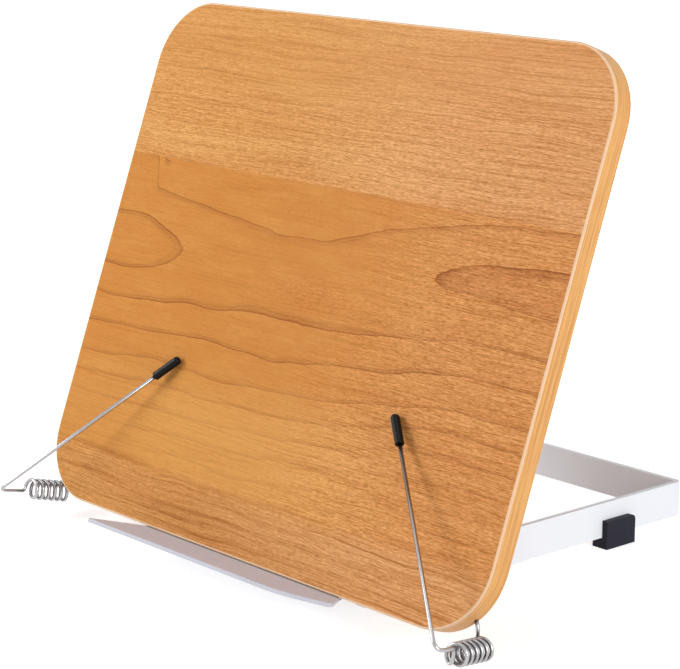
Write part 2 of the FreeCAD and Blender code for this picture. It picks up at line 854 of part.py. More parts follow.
def leastGap(pieces, turnLength, samples=12):
    # smallest air gap between stretches of the wire that are over half a turn apart
    points = []
    travelled = 0
    for edge in pathEdges(pieces):
        step = (edge.LastParameter - edge.FirstParameter) / samples
        for k in range(samples):
            place = edge.valueAt(edge.FirstParameter + step * k)
            points.append((travelled + edge.Length * k / samples, place))
        travelled += edge.Length
    return min(
        place.distanceToPoint(laterPlace)
        for index, (reached, place) in enumerate(points)
        for laterReached, laterPlace in points[index + 1:]
        if laterReached - reached > turnLength / 2
    ) - size("wire")


# Both coils are wound right-handed, so once its wire is mirrored the left one turns back.
winding = {"right": 1, "left": -1}


def holderPath(name):
    # a holder's wire on the right of the board, later mirrored for the left
    coilRear = Vector(size("coil_x"), size("coil_up"), -size(f"coil_back_{name}"))
    axis = Vector(
        math.tan(math.radians(size(f"coil_out_{name}"))),
        -math.tan(math.radians(size(f"coil_droop_{name}"))),
        1,
    ).normalize()
    coilUp = (Vector(0, 1, 0) - axis * axis.y).normalize()
    coilAside = coilUp.cross(axis)
    radius = size("coil_radius")
    turns = size(f"coil_turns_{name}")
    climb = size("coil_length") / turns / (2 * math.pi)
    first = math.radians(size(f"coil_start_{name}"))
    way = winding[name]

    def coilPoint(angle):
        return (coilRear + axis * climb * abs(angle - first)
                + coilAside * radius * math.cos(angle) + coilUp * radius * math.sin(angle))

    def coilHeading(angle):
        return (axis * climb - coilAside * radius * way * math.sin(angle)
                + coilUp * radius * way * math.cos(angle)).normalize()

    steps = math.ceil(turns * 2)
    angles = [first + way * 2 * math.pi * turns * k / steps for k in range(steps + 1)]
    coil = []
    for start, end in zip(angles, angles[1:]):
        coil += biarc(coilPoint(start), coilHeading(start), coilPoint(end), coilHeading(end))

    legEnd = legMouth + legHeading * size("leg_out")
    leg = [(legMouth - legHeading * size("leg_depth"), legEnd)]
    leg += biarc(legEnd, legHeading, coilPoint(angles[0]), coilHeading(angles[0]))

    runStart = coilRear + coilUp * size(f"run_rise_{name}") + coilAside * size(f"run_aside_{name}")
    runStart += axis * (size("coil_length") + size(f"run_curl_{name}"))
    corner = Vector(size(f"run_x_{name}"), size(f"run_up_{name}"), size("run_front"))
    runHeading = (corner - runStart).normalize()
    tip = Vector(size(f"tip_x_{name}"), size(f"tip_up_{name}"), size("cap_height"))
    armHeading = (tip - corner).normalize()
    wireEnd = tip - armHeading * size("cap_over_wire")
    arm = biarc(coilPoint(angles[-1]), coilHeading(angles[-1]), runStart, runHeading)
    bend, armStart = roundedCorner(runStart, corner, tip, size("arm_bend"))
    arm += bend + [(armStart, wireEnd)]
    return {"leg": leg, "coil": coil, "arm": arm, "tip": tip, "heading": armHeading}


for name, side in sides.items():
    path = holderPath(name)
    for piece in ("leg", "coil", "arm"):
        turned = [tuple(mirrored(point, side) for point in step) for step in path[piece]]
        subParts.append(drawnWire(f"holder_{piece}_{name}", turned))
    turnLength = math.pi * 2 * size("coil_radius")
    whole = path["leg"][1:] + path["coil"] + path["arm"][:2]
    print(f"holder {name}: least gap of the wire to itself {leastGap(whole, turnLength):.2f} mm")

    cap = newBody(f"holder_cap_{name}")
    capSketch = newSketch(cap, "XY_Plane", "cap")
    drawCircle(capSketch, "0 mm", "0 mm", "size.cap_width / 2")
    addPad(cap, capSketch, "cap_pad", "size.cap_length")
    sleeveSketch = newSketch(cap, "XY_Plane", "sleeve")
    drawCircle(sleeveSketch, "0 mm", "0 mm", "size.wire / 2")
    addPocket(cap, sleeveSketch, "sleeve_cut", "size.cap_length - size.cap_over_wire", reversed=True)
    addFillet(
        cap, "cap_tip", "size.cap_tip_round",
        lambda edge: near(edge.BoundBox.ZMin, size("cap_length"))
        and near(edge.BoundBox.ZMax, size("cap_length")),
    )
    addFillet(
        cap, "cap_mouth", "size.cap_mouth_round",
        lambda edge: near(edge.BoundBox.ZMax, 0) and near(edge.BoundBox.XLength, size("cap_width")),
    )
    heading = mirrored(path["heading"], side)
    tip = mirrored(path["tip"], side)
    start = tip - heading * size("cap_length")
    cap.Placement = boardPlace.multiply(Placement(start, Rotation(Vector(0, 0, 1), heading)))
    subParts.append(cap)


# Every piece is checked before any file is written.

doc.recompute()
for item in doc.Objects:
    if "Invalid" in item.State or "Error" in item.State:
        raise RuntimeError(f"{item.Label} failed: {item.State}")
for piece in subParts:
    if piece.Shape.isNull() or not piece.Shape.isValid() or not piece.Shape.Solids:
        raise RuntimeError(f"{piece.Label} has no valid solid")
whole = FreeCAD.BoundBox()
for piece in subParts:
    whole.add(piece.Shape.BoundBox)
    piece.Shape.exportStep(f"parts/{piece.Label}.step")
print(f"{len(subParts)} pieces, {whole.XLength:.1f} x {whole.YLength:.1f} x {whole.ZLength:.1f} mm,",
      f"middle x {whole.Center.x:.2f}, y {whole.Center.y:.2f}, lowest z {whole.ZMin:.2f}")
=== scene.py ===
import math
import bpy
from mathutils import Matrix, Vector


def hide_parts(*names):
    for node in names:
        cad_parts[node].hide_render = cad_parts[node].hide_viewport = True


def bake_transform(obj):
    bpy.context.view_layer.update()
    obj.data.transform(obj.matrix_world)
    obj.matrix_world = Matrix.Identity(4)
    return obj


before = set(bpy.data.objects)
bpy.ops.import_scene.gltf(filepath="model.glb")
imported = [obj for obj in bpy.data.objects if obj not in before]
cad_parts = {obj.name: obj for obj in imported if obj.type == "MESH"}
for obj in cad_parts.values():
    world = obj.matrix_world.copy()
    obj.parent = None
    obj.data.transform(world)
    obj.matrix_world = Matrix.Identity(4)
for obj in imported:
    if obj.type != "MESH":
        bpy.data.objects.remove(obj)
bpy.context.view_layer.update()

# Dresses the imported book stand: laminate grain, painted bar and ledge, rubber feet,
# and each page holder as one springy wire wound through its coil, made as two tubes.

mm = 0.001


class Shade:
    # a value inside a material that can be used in sums
    def __init__(self, finish, socket):
        self.finish = finish
        self.socket = socket

    def __add__(self, other):
        return self.finish.maths("ADD", self, other)

    def __sub__(self, other):
        return self.finish.maths("SUBTRACT", self, other)

    def __rsub__(self, other):
        return self.finish.maths("SUBTRACT", other, self)

    def __mul__(self, other):
        return self.finish.maths("MULTIPLY", self, other)

    def __truediv__(self, other):
        return self.finish.maths("DIVIDE", self, other)

    def __rtruediv__(self, other):
        return self.finish.maths("DIVIDE", other, self)

    def __pow__(self, other):
        return self.finish.maths("POWER", self, other)

    def __rpow__(self, other):
        return self.finish.maths("POWER", other, self)

    __radd__ = __add__
    __rmul__ = __mul__

    def atLeast(self, other):
        return self.finish.maths("MAXIMUM", self, other)

    def atMost(self, other):
        return self.finish.maths("MINIMUM", self, other)

    def clipped(self):
        return self.atLeast(0.0).atMost(1.0)

    def fraction(self):
        return self.finish.maths("FRACT", self)

    def step(self, low, high):
        # smooth rise from 0 to 1 between low and high
        return self.finish.node(
            "ShaderNodeMapRange", {"interpolation_type": "SMOOTHSTEP"},
            {"Value": self, "From Min": low, "From Max": high})


class Finish:
    # one material, or the world, with its shader and a way to add any node
    def __init__(self, block, shader):
        self.block = block
        block.use_nodes = True
        self.tree = block.node_tree
        self.shader = self.tree.nodes[shader]

    def feed(self, node, key, value):
        socket = node.inputs[key]
        if isinstance(value, Shade):
            self.tree.links.new(value.socket, socket)
        elif hasattr(value, "__len__"):
            missing = len(socket.default_value) - len(value)      # a colour's socket has alpha too
            socket.default_value = tuple(value) + (1.0,) * missing
        else:
            socket.default_value = value

    def node(self, kind, settings, inputs, output=0):
        made = self.tree.nodes.new(kind)
        for key, value in settings.items():
            setattr(made, key, value)
        for key, value in inputs.items():
            self.feed(made, key, value)
        return Shade(self, made.outputs[output])

    def maths(self, operation, *values):
        return self.node("ShaderNodeMath", {"operation": operation}, dict(enumerate(values)))

    def vectorMaths(self, operation, inputs, output=0):
        return self.node("ShaderNodeVectorMath", {"operation": operation}, inputs, output)

    def place(self):
        # the object's own coordinates, in millimetres
        metres = self.node("ShaderNodeTexCoord", {}, {}, "Object")
        return self.vectorMaths("SCALE", {0: metres, "Scale": 1 / mm})

    def along(self, place, direction):
        return self.vectorMaths("DOT_PRODUCT", {0: place, 1: direction}, "Value")

    def point(self, x, y, z):
        return self.node("ShaderNodeCombineXYZ", {}, {"X": x, "Y": y, "Z": z})

    def noise(self, place, spots, detail=2.0, rough=0.5):
        # soft spots, so many to a millimetre along each axis of the place
        spread = self.vectorMaths("MULTIPLY", {0: place, 1: spots})
        return self.node("ShaderNodeTexNoise", {}, {
            "Vector": spread, "Scale": 1.0, "Detail": detail, "Roughness": rough}, "Fac")

    def mix(self, mask, first, second, blend="MIX"):
        return self.node("ShaderNodeMix", {"data_type": "RGBA", "blend_type": blend},
                         {0: mask, 6: first, 7: second}, 2)

    def tint(self, mask, colour, factor):
        # the colour times the factor where the mask is 1
        return self.mix(mask, colour, factor, "MULTIPLY")

    def bump(self, height, strength, distance):
        bumped = self.node("ShaderNodeBump", {}, {
            "Height": height, "Strength": strength, "Distance": distance})
        self.set("Normal", bumped)

    def set(self, key, value):
        self.feed(self.shader, key, value)


def weighted(amounts, masks):
    # the sum of masks or layers, each times its amount
    return sum(masks[name] * amount for name, amount in amounts.items())


def newFinish(name, colour, roughness, metallic=0.0, gloss=0.5):
    finish = Finish(bpy.data.materials.new(name), "Principled BSDF")
    finish.set("Base Color", colour)
    finish.set("Roughness", roughness)
    finish.set("Metallic", metallic)
    finish.set("Specular IOR Level", gloss)
    return finish


# The board leans back, and its grain is laid out in its own plane.
board = {
    "angle": 69.71,           # degrees from the table
    "edgeFront": -112.0,      # lower edge of the face in the frame, in millimetres
    "edgeHeight": 16.4,
    "width": 340.0,
    "thickness": 11.0,
}
lean = math.radians(board["angle"])
boardUp = Vector((0, math.cos(lean), math.sin(lean)))
boardOut = Vector((0, -math.sin(lean), math.cos(lean)))
boardCorner = Vector((0, board["edgeFront"], board["edgeHeight"]))


def boardAxes(finish):
    # across the board from its middle, up it and out of its face, in millimetres
    place = finish.vectorMaths("SUBTRACT", {0: finish.place(), 1: boardCorner})
    return [finish.along(place, axis) for axis in ((1, 0, 0), boardUp, boardOut)]


# Front and back laminate: three strips of printed cherry. The joints between them
# have a height, a softness to each side and a waver, in millimetres.
joints = {
    "upper": {"height": 193.5, "below": 0.4, "above": 1.2, "waver": 1.6},
    "lower": {"height": 33.0, "below": 4.0, "above": 5.0, "waver": 6.4},
}


def aboveJoint(up, seam, joint):
    # 0 below the joint and 1 above it
    return (up + seam * joint["waver"]).step(
        joint["height"] - joint["below"], joint["height"] + joint["above"])


# The figure of the middle strip. Its rings are tubes round the heart of the tree. The face
# passes far from the heart in the middle of the board and close to it at both ends, where
# the rings open as tongues.
rings = {
    "middle": 144.0,             # height of the heart on the left
    "rise": 18.0,                # and how much higher it is on the right
    "riseSpan": (-20.0, 130.0),
    "depth": 23.0,               # from the face to the heart in the middle of the board
    "leftTaper": (30.5, 3.2),    # how much less at the reach, and as which power of the way there
    "rightTaper": (11.9, 0.75),
    "reach": 168.0,
    "step": 16.0,                # from ring to ring
    "crowdFrom": 62.0,           # beyond this distance they stand closer
    "crowdBy": 36.0,
    "shift": {"slow": 12.0, "wave": 3.4},      # how far drift and waves move them
    "shake": {"kink": 0.40},                   # and small kinks
    "calm": 0.35,                # share of the shift that is left level with the heart
    "calmSpan": (4.0, 400.0),    # square of the height over which it grows to the whole
    "leftBend": (-147.0, -138.0),      # left of here the upper ring turns up into the joint
    "bendHeight": (20.0, 42.0),
    "bendRise": 17.0,
}


def ringCount(across, up, wander):
    # how many rings lie between a place and the heart
    offset = up - (rings["middle"] + rings["rise"] * across.step(*rings["riseSpan"]))
    depth = rings["depth"]
    for reach, (less, power) in ((0.0 - across, rings["leftTaper"]), (across, rings["rightTaper"])):
        depth = depth - (reach.atLeast(0.0) / rings["reach"]) ** power * less
    depth = depth.atLeast(0.0)
    ring = (offset * offset + depth * depth) ** 0.5
    calm = rings["calm"] + (offset * offset).step(*rings["calmSpan"]) * (1 - rings["calm"])
    ring = ring + weighted(rings["shift"], wander) * calm + weighted(rings["shake"], wander)
    bent = (1 - across.step(*rings["leftBend"])) * offset.step(*rings["bendHeight"])
    ring = ring - bent * rings["bendRise"]
    return ring / rings["step"] + (ring - rings["crowdFrom"]).atLeast(0.0) / rings["crowdBy"]


# The line that ends each ring: powers of the ring's fraction, each with its strength.
ringLine = {
    "sharp": (24.0, 0.95),
    "shade": (6.0, 0.15),
    "second": 26.0,              # a second line before the first, which comes and goes
    "secondAhead": 0.085,
    "secondShare": (0.20, 0.25),
    "fadedShare": 0.55,
    "low": (50.0, 104.0),        # lower on the board the lines are fainter
    "lowShare": 0.36,
    "clearUp": (180.0, 185.0),   # just under the upper joint there are none, between these two
    "clearRight": (40.0, 75.0),
    "clearLeft": (-138.0, -132.0),
}


def ringLines(across, up, count, fading):
    late = count.fraction()
    second = (count + ringLine["secondAhead"]).fraction() ** ringLine["second"]
    always, sometimes = ringLine["secondShare"]
    lines = second * (always + fading * sometimes)
    for power, strength in (ringLine["sharp"], ringLine["shade"]):
        lines = lines + late ** power * strength
    faded, low = ringLine["fadedShare"], ringLine["lowShare"]
    strong = (faded + fading * (1 - faded)) * (low + up.step(*ringLine["low"]) * (1 - low))
    clear = up.step(*ringLine["clearUp"]) * (1 - across.step(*ringLine["clearRight"]))
    clear = clear * across.step(*ringLine["clearLeft"])
    return lines.clipped() * strong * (1 - clear)


# Layers of noise over the face: spots to a millimetre across and up, a level of their own
# in the noise, detail and roughness.
grainLayers = {
    "slow": (0.010, 0.028, 0.0, 2.0, 0.5),      # drift of the grain
    "wave": (0.030, 0.085, 0.0, 2.0, 0.5),      # waves in it
    "kink": (0.16, 0.22, 0.0, 2.0, 0.5),        # and small kinks
    "seam": (0.03, 0.0, 0.0, 2.0, 0.5),         # waver of the joints
    "fading": (0.012, 0.05, 0.0, 2.0, 0.5),     # where ring lines are strong
    "streak": (0.006, 0.30, 3.0, 4.0, 0.62),    # long dark streaks
    "thread": (0.012, 0.95, 3.0, 2.0, 0.6),     # thin long threads
    "dash": (0.12, 1.42, 9.0, 1.0, 0.5),        # short dashes
    "fleck": (0.36, 2.00, 45.0, 1.0, 0.5),      # and shorter flecks
    "patch": (0.010, 0.035, 0.0, 2.0, 0.5),     # where flecks crowd
    "cloud": (0.005, 0.045, 0.0, 3.0, 0.55),    # pale and darker wood
    "mottle": (0.03, 0.11, 0.0, 3.0, 0.6),      # golden spots in the figured strip
}
grainSpans = {              # the noise at which a layer starts to show, and shows wholly
    "fading": (0.30, 0.62),
    "streak": (0.48, 0.70),
    "thread": (0.50, 0.66),
    "patch": (0.25, 0.60),
    "cloud": (0.30, 0.70),
    "mottle": (0.40, 0.66),
}

grain = {
    "pale": (0.738, 0.358, 0.107),
    "body": (0.686, 0.306, 0.083),
    "golden": (0.735, 0.346, 0.083),
    "rich": (0.626, 0.238, 0.041),      # the figured strip is a deeper orange
    # what the wood is multiplied by
    "rosy": (1.06, 1.07, 1.38),         # towards the right
    "deep": (0.72, 0.58, 0.40),         # in streaks and threads
    "fleck": (0.72, 0.60, 0.40),        # in flecks
    "spark": (1.24, 1.36, 1.62),        # between flecks
    "line": (0.47, 0.29, 0.17),         # along the rings
    "heart": (0.955, 0.900, 0.895),     # in the right tongue and in the eye
    # how much of each effect every zone shows
    "flecks": {"upper": 0.74, "upperTop": -0.34, "upperPatch": 0.12, "lower": 0.72,
               "figured": 0.18, "figuredRight": 0.74, "figuredPatch": 0.08, "figuredEye": 0.30},
    "streaks": {"all": 0.15, "upper": 0.20, "lower": 0.70},
    "threads": {"all": 0.09, "upper": 0.17, "lower": 0.36, "right": 0.20, "golden": 0.14},
    "richness": {"figured": 0.92, "figuredRight": -0.25},
    "gold": {"golden": 0.35, "goldenRight": 0.45},
    "mottleShare": 0.26,
    "heartShare": 0.8,
    # how the fibres follow the drift, and what they add up to
    "streakDrift": {"slow": 8.0, "wave": 2.0},
    "fibreDrift": {"slow": 5.0, "wave": 1.6, "kink": 0.25},
    "fine": {"thread": 0.24, "dash": 0.34, "fleck": 0.42},
    "fineContrast": 4.4,
    "roughness": {"all": 0.56, "fleck": 0.10, "streak": 0.06},
    "sunk": {"flecks": 0.6, "thread": 0.4, "rings": 0.2},
    "bump": (0.10, 0.0002),             # strength, and depth in metres
    "gloss": 0.14,
    # zones, in millimetres
    "calmTop": (226.0, 258.0),          # the upper strip is quieter along the top edge
    "calmDrift": 60.0,
    "rightSide": (0.0, 95.0),           # the right side starts on a line that leans
    "rightLean": 0.25,
    "rightMiddle": 120.0,
    "eyePlace": (4.0, 138.0),           # a knot's faint eye, and the inverse of its half axes
    "eyeShrink": (0.030, 0.075),
    "tongueCore": (50.0, 80.0),         # inside the first ring of the right tongue
    "coreEdge": (0.90, 1.00),
    "goldenBelow": (62.0, 98.0),        # the golden zone, low and left
    "goldenLeft": (40.0, 120.0),
    "goldenFade": (-150.0, -60.0),      # it fades towards the left edge
    "rosySpan": (-90.0, 150.0),
    "lowerDark": (-110.0, 130.0),       # the lower strip is darker on the left
    "lowerDarkShare": 0.36,
}


def laminateFinish():
    # printed cherry: three strips, the middle one with tongue-shaped figure
    finish = newFinish("cherryLaminate", grain["body"], grain["roughness"]["all"], gloss=grain["gloss"])
    across, up, _ = boardAxes(finish)
    flat = finish.point(across, up, 1.0)

    def layer(name, place=flat):
        # over the face itself, or over a place that wanders with the grain
        *spots, detail, rough = grainLayers[name]
        return finish.noise(place, spots, detail, rough)

    def shown(name):
        # 0 where a layer doesn't show and 1 where it shows wholly
        return layer(name).step(*grainSpans[name])

    wander = {name: layer(name) - 0.5 for name in ("slow", "wave", "kink")}
    seam = layer("seam")
    upper = aboveJoint(up, seam, joints["upper"])
    lower = 1 - aboveJoint(up, seam, joints["lower"])
    figured = (1 - upper) * (1 - lower)

    count = ringCount(across, up, wander)
    ringMask = ringLines(across, up, count, shown("fading")) * figured

    # streaks and threads follow the drift, and the short fibres a little less so
    drift = finish.point(across, up + weighted(grain["streakDrift"], wander), 1.0)
    slanted = finish.point(across, up + weighted(grain["fibreDrift"], wander), 1.0)
    streak, thread = layer("streak", drift), layer("thread", drift)
    dash, fleck = layer("dash", slanted), layer("fleck", slanted)
    fibres = {"all": 1.0, "streak": streak, "thread": thread, "dash": dash, "fleck": fleck}
    fine = ((weighted(grain["fine"], fibres) - 0.5) * grain["fineContrast"] + 0.5).clipped()

    patch = shown("patch")
    calmTop = (up + wander["slow"] * grain["calmDrift"]).step(*grain["calmTop"])
    rightSide = across - (up - grain["rightMiddle"]) * grain["rightLean"]
    rightSide = rightSide.step(*grain["rightSide"])
    golden = (1 - lower) * (1 - up.step(*grain["goldenBelow"])) * (1 - across.step(*grain["goldenLeft"]))
    eyeAcross, eyeUp = [((axis - place) * shrink) ** 2.0 for axis, place, shrink
                        in zip((across, up), grain["eyePlace"], grain["eyeShrink"])]
    eye = 1 - (eyeAcross + eyeUp).step(0.0, 1.0)
    tongueCore = (1 - count.step(*grain["coreEdge"])) * figured * across.step(*grain["tongueCore"])
    zones = {
        "all": 1.0, "upper": upper, "upperTop": upper * calmTop, "upperPatch": upper * patch,
        "lower": lower, "figured": figured, "figuredRight": figured * rightSide,
        "figuredPatch": figured * patch, "figuredEye": figured * eye, "right": rightSide,
        "golden": golden, "goldenRight": golden * across.step(*grain["goldenFade"]),
    }

    colour = finish.mix(shown("cloud"), grain["body"], grain["pale"])
    colour = finish.mix(weighted(grain["richness"], zones), colour, grain["rich"])
    colour = finish.mix(figured * shown("mottle") * grain["mottleShare"], colour, grain["golden"])
    colour = finish.mix(weighted(grain["gold"], zones), colour, grain["golden"])
    colour = finish.tint(across.step(*grain["rosySpan"]), colour, grain["rosy"])
    lowerDark = lower * (1 - across.step(*grain["lowerDark"])) * grain["lowerDarkShare"]
    colour = finish.tint(lowerDark, colour, grain["deep"])
    streaks = streak.step(*grainSpans["streak"]) * weighted(grain["streaks"], zones)
    colour = finish.tint(streaks, colour, grain["deep"])
    threads = thread.step(*grainSpans["thread"]) * weighted(grain["threads"], zones)
    colour = finish.tint(threads, colour, grain["deep"])
    flecks = weighted(grain["flecks"], zones)
    colour = finish.tint(flecks, colour, finish.mix(fine, grain["spark"], grain["fleck"]))
    colour = finish.tint(ringMask, colour, grain["line"])
    heart = ((tongueCore + eye) * grain["heartShare"]).clipped()
    finish.set("Base Color", finish.tint(heart, colour, grain["heart"]))
    finish.set("Roughness", weighted(grain["roughness"], fibres))
    sunk = weighted(grain["sunk"], {"flecks": fine * flecks, "thread": thread, "rings": ringMask})
    finish.bump(1 - sunk, *grain["bump"])
    return finish.block


edge = {
    "colour": (0.755, 0.400, 0.132),
    "stripe": (0.540, 0.210, 0.048),
    # the paler colour on the front arris is a painted highlight, where the rounded edge catches light
    "highlightColour": (0.830, 0.560, 0.350),
    "highlightDepth": 0.85,                 # how far the painted highlight on the rounded front arris reaches back, in millimetres
    "highlightBlur": 0.15,
    "wideStripes": (0.012, 0.012, 1.1),
    "wideSpan": (0.44, 0.66),
    "wideShare": 0.65,
    "fineStripes": (0.06, 0.06, 3.2),
    "fineSpan": (0.50, 0.64),
    "fineShare": 0.45,
    "rearLine": (0.5, 0.9),             # a darker line along the rear edge
    "rearShare": 0.35,
    "roughness": 0.38,
    "roughSpread": 0.10,
    "bump": (0.08, 0.0002),
    "gloss": 0.35,
}


def edgeFinish():
    # edging strip: fine stripes along the rim, and a painted highlight on the rounded front arris
    finish = newFinish("cherryEdging", edge["colour"], edge["roughness"], gloss=edge["gloss"])
    across, up, out = boardAxes(finish)
    place = finish.point(across, up, out)
    wide = finish.noise(place, edge["wideStripes"], detail=3.0, rough=0.6)
    fine = finish.noise(place, edge["fineStripes"])
    rearLine = 1 - out.step(*[reach - board["thickness"] for reach in edge["rearLine"]])
    colour = edge["colour"]
    for mask in (wide.step(*edge["wideSpan"]) * edge["wideShare"],
                 fine.step(*edge["fineSpan"]) * edge["fineShare"], rearLine * edge["rearShare"]):
        colour = finish.mix(mask, colour, edge["stripe"])
    # painted highlight: a lighter colour along the front arris
    paintedHighlight = out.step(-edge["highlightDepth"] - edge["highlightBlur"], -edge["highlightDepth"] + edge["highlightBlur"])
    finish.set("Base Color", finish.mix(paintedHighlight, colour, edge["highlightColour"]))
    finish.set("Roughness", edge["roughness"] + wide * edge["roughSpread"])
    finish.bump((wide + fine) / 2, *edge["bump"])
    return finish.block


core = {
    "dark": (0.52, 0.36, 0.21),
    "light": (0.70, 0.53, 0.34),
    "spots": (0.8, 0.8, 0.8),
    "roughness": 0.85,
    "bump": (0.2, 0.0003),
}


def coreFinish():
    finish = newFinish("fibreCore", core["dark"], core["roughness"])
    speck = finish.noise(finish.place(), core["spots"], detail=4.0, rough=0.7)
    finish.set("Base Color", finish.mix(speck, core["dark"], core["light"]))
    finish.bump(speck, *core["bump"])
    return finish.block


paint = {
    "frame": {"name": "whitePowderCoat", "colour": (0.888, 0.918, 0.970), "roughness": 0.46},
    # the ledge's paint is a greyer copy of the frame's white: painted shade for the shade that falls on
    # the ledge
    "ledge": {"name": "ledgeShadedPowderCoat", "colour": (0.590, 0.595, 0.672), "roughness": 0.50},
}
coat = {                    # what both paints share
    "peelSpots": (1.1, 1.1, 1.1),
    "peelRoughness": 0.08,
    "soilSpots": (0.02, 0.02, 0.02),
    "soilSpan": (0.45, 0.75),
    "soilShare": 0.5,
    "soilDarkness": 0.93,
    "bump": (0.12, 0.0002),
}


def paintFinish(name, colour, roughness):
    # powder coat: faint orange-peel and a little soiling
    finish = newFinish(name, colour, roughness)
    peel = finish.noise(finish.place(), coat["peelSpots"])
    soil = finish.noise(finish.place(), coat["soilSpots"], detail=3.0).step(*coat["soilSpan"])
    soiled = [coat["soilDarkness"] * part for part in colour]
    finish.set("Base Color", finish.mix(soil * coat["soilShare"], colour, soiled))
    finish.set("Roughness", roughness + (peel - 0.5) * coat["peelRoughness"])
    finish.bump(peel, *coat["bump"])
    return finish.block


rubber = {
    "foot": {"name": "footRubber", "colour": (0.012, 0.012, 0.023), "roughness": 0.56,
             "spots": (0.9, 0.9, 0.9), "gloss": 0.18},
    "cap": {"name": "capVinyl", "colour": (0.005, 0.005, 0.006), "roughness": 0.23,
            "spots": (1.4, 1.4, 1.4), "gloss": 0.12},
}
skin = {                    # what feet and caps share
    "dust": 0.012,
    "dustSpan": (0.5, 0.8),
    "dustShare": 0.6,
    "roughSpread": 0.12,
    "bump": (0.15, 0.0002),
}


def rubberFinish(name, colour, roughness, spots, gloss):
    # moulded rubber or soft vinyl with a little dust
    finish = newFinish(name, colour, roughness, gloss=gloss)
    pores = finish.noise(finish.place(), spots, detail=3.0, rough=0.6)
    dusty = [part + skin["dust"] for part in colour]
    dust = pores.step(*skin["dustSpan"]) * skin["dustShare"]
    finish.set("Base Color", finish.mix(dust, colour, dusty))
    finish.set("Roughness", roughness + (pores - 0.5) * skin["roughSpread"])
    finish.bump(pores, *skin["bump"])
    return finish.block


steel = {
    "wire": {"name": "polishedWire", "colour": (0.43, 0.42, 0.43), "roughness": 0.24,
             "marks": (0.5, 0.5, 0.5), "recess": 6.0},
    "zinc": {"name": "zincPlate", "colour": (0.60, 0.61, 0.63), "roughness": 0.30,
             "marks": (0.4, 1.2, 1.2), "recess": 0.0},
}
polish = {                  # what wire and plated steel share
    "dullness": 0.90,
    "dullSpan": (0.45, 0.75),
    "dullShare": 0.4,
    "roughSpread": 0.03,
    # painted shade in the coil's hollows: its colour, and the occlusion over which it darkens the wire
    "paintedShadeColour": (0.16, 0.15, 0.15),
    "paintedShadeSpan": (0.05, 0.42),
    "recessRays": 8,
    "bump": (0.004, 0.0001),
}


def steelFinish(name, colour, roughness, marks, recess):
    # fine marks, and painted shade where turns crowd within the recess distance, in millimetres
    finish = newFinish(name, colour, roughness, metallic=1.0)
    mark = finish.noise(finish.place(), marks, detail=3.0, rough=0.6)
    dull = [polish["dullness"] * part for part in colour]
    colour = finish.mix(mark.step(*polish["dullSpan"]) * polish["dullShare"], colour, dull)
    if recess:
        free = finish.node("ShaderNodeAmbientOcclusion", {"samples": polish["recessRays"]},
                           {"Distance": recess * mm}, "AO")
        # painted shade: the colour darkens where the occlusion node finds the wire's own turns close
        # around
        colour = finish.tint((1 - free).step(*polish["paintedShadeSpan"]), colour, polish["paintedShadeColour"])
    finish.set("Base Color", colour)
    finish.set("Roughness", roughness + mark * polish["roughSpread"])
    finish.bump(mark, *polish["bump"])
    return finish.block


nylon = {
    "light": (0.80, 0.78, 0.72),
    "dark": (0.74, 0.72, 0.66),
    "spots": (0.5, 0.5, 0.5),
    "roughness": 0.5,
}


def nylonFinish():
    finish = newFinish("naturalNylon", nylon["light"], nylon["roughness"])
    speck = finish.noise(finish.place(), nylon["spots"])
    finish.set("Base Color", finish.mix(speck, nylon["light"], nylon["dark"]))
    return finish.block


laminate = laminateFinish()
framePaint = paintFinish(**paint["frame"])
wireSteel = steelFinish(**steel["wire"])
zincSteel = steelFinish(**steel["zinc"])
finishOf = {                # by the start of the node's name, the first that fits
    "board_core": coreFinish(),
    "front_laminate": laminate,
    "back_laminate": laminate,
    "edge_band": edgeFinish(),
    "page_ledge": paintFinish(**paint["ledge"]),
    "base_frame": framePaint,
    "hinge_bracket": framePaint,
    "foot_": rubberFinish(**rubber["foot"]),
    "holder_cap": rubberFinish(**rubber["cap"]),
    "holder_": wireSteel,
    "friction_washer": nylonFinish(),
}
print("finishes made")


def finishFor(node):
    for start, material in finishOf.items():
        if node.startswith(start):
            return material
    return zincSteel


for name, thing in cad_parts.items():
    thing.data.materials.clear()
    thing.data.materials.append(finishFor(name))
print("frame nodes dressed:", len(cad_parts))


# Page holders. Sizes in millimetres and degrees, on the right of the board, in the board's
# plane: across from its middle, up from its lower edge and out of its face.
holder = {
    "wire": 2.0,
    "legAngle": 46.3,         # where on the board's rounded corner the leg comes out
    "legSplay": 36.7,         # its heading, from straight down
    "legBack": 8.8,           # how far behind the face
    "legInside": 6.0,
    "legOut": 1.2,
    "corner": 36.0,           # radius of the board's corner
    "coilX": 166.3,
    "coilUp": 0.2,
    "coilRadius": 5.0,
    "coilLength": 23.7,
    "wholeTurns": 6,
    "runFront": 26.8,         # how far in front of the face the run-out turns up into the arm
    "armBend": 4.5,
    "tipOut": 2.42,
    "capOverWire": 1.6,
    "bendPull": 0.9,          # how far a smooth bend holds on to the headings at its ends
    "legSlant": 0.55,         # slant of the spans computed for the two halves of the coil
    "armSlant": 0.30,
    "sides": 14,
    "pointsPerTurn": 40,
    "right": {"mirror": 1, "winding": 1, "coilBack": 12.5, "startAngle": 180, "endAngle": 240,
              "out": 9.4, "droop": 11.9, "runAside": 0.6, "runRise": 3.6, "runCurl": 3.4,
              "runX": 173.1, "runUp": -3.9, "tipX": 85.6, "tipUp": 91.5},
    "left": {"mirror": -1, "winding": -1, "coilBack": 14.4, "startAngle": 65, "endAngle": 0,
             "out": 5.6, "droop": 6.4, "runAside": 4.6, "runRise": -2.3, "runCurl": 1.8,
             "runX": 171.8, "runUp": -6.9, "tipX": 80.6, "tipUp": 89.0},
}


def toFrame(point, mirror):
    # from millimetres in the board's plane to metres in the frame
    x, up, out = point
    place = boardCorner + Vector((x * mirror, 0, 0)) + boardUp * up + boardOut * out
    return place * mm


